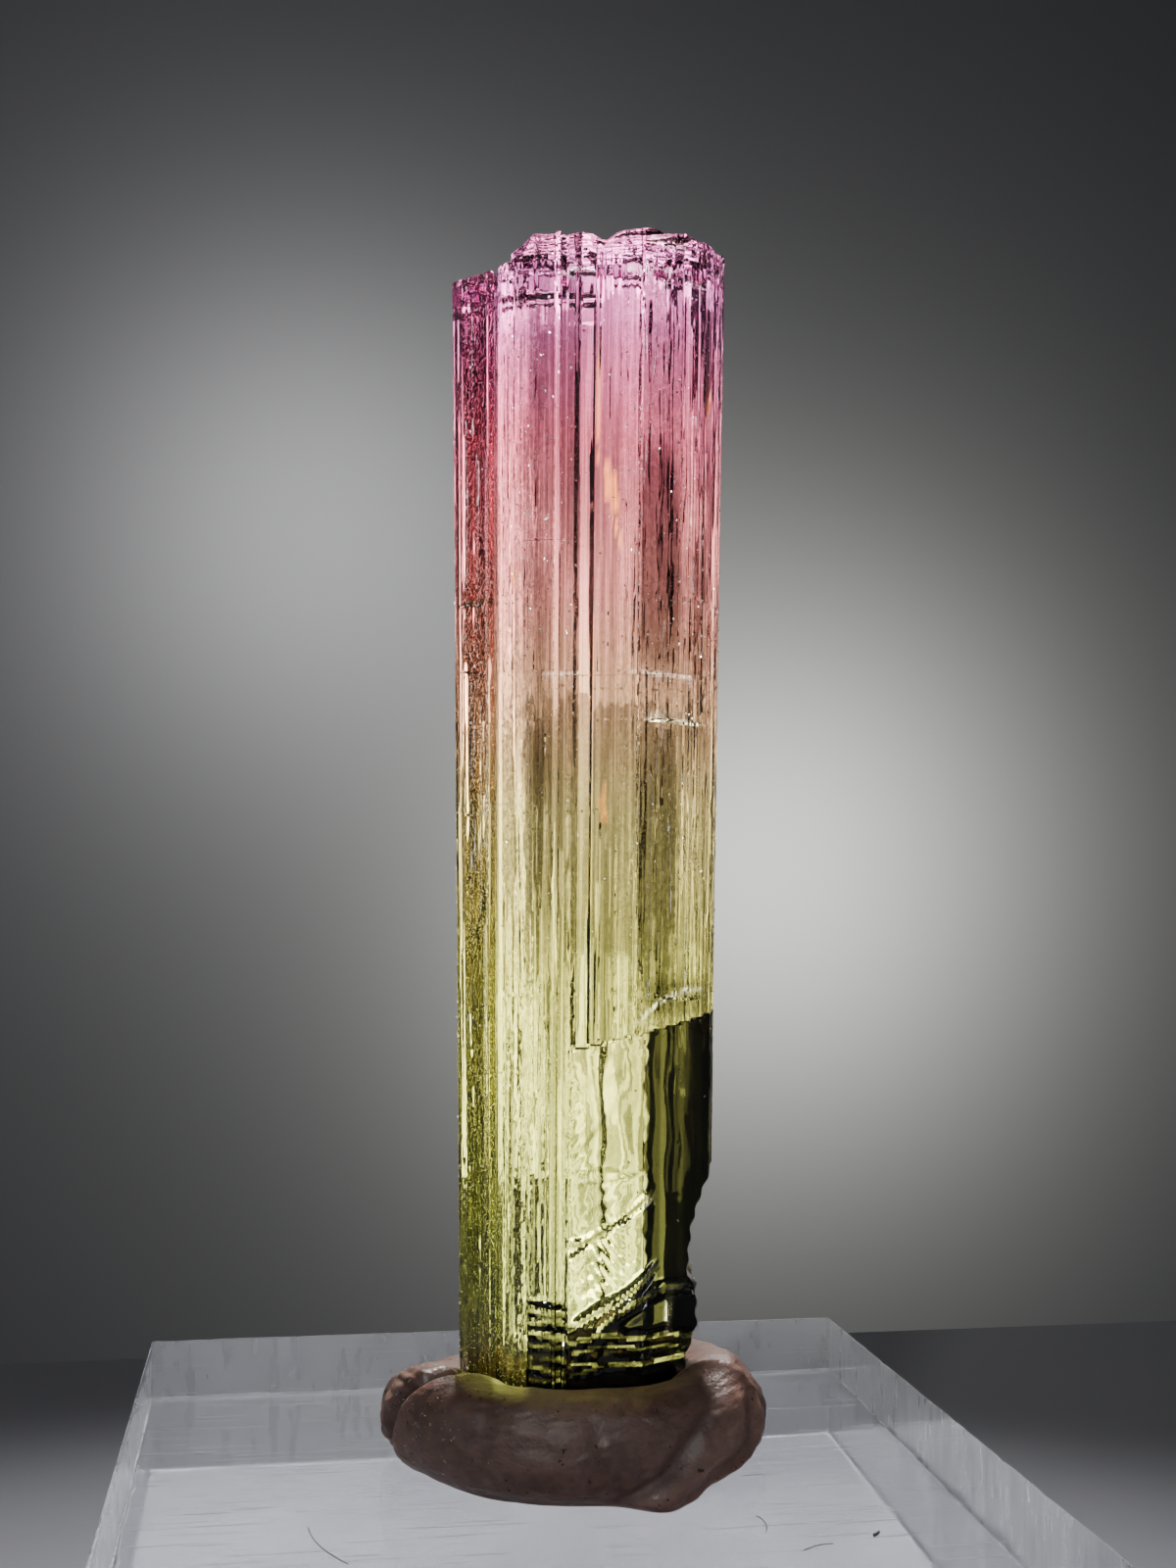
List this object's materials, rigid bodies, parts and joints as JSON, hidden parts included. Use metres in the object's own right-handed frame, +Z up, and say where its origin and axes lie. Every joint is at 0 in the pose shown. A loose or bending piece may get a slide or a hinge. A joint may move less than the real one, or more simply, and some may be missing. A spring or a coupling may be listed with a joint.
{
  "type": "tourmaline crystal on display block",
  "caption": "Upright striated tourmaline prism, pink above and yellow-green below, held by a ring of mineral putty on a clear square block.",
  "frame": {"origin": "centre of the display block's underside, on the surface it stands on", "axes": "+Z up along the crystal, +X to the right along the block's front edge, +Y away from the viewer; the crystal's broad front is turned 9.8 degrees from the block's front"},
  "size_m": [0.0382, 0.0382, 0.066],
  "materials": {
    "tourmaline": "polished",
    "mineral_putty": "satin",
    "clear_acrylic": "polished"
  },
  "bodies": {
    "root": {"tourmaline_crystal": "tourmaline", "mineral_tack": "mineral_putty", "acrylic_block": "clear_acrylic"}
  },
  "joints": []
}
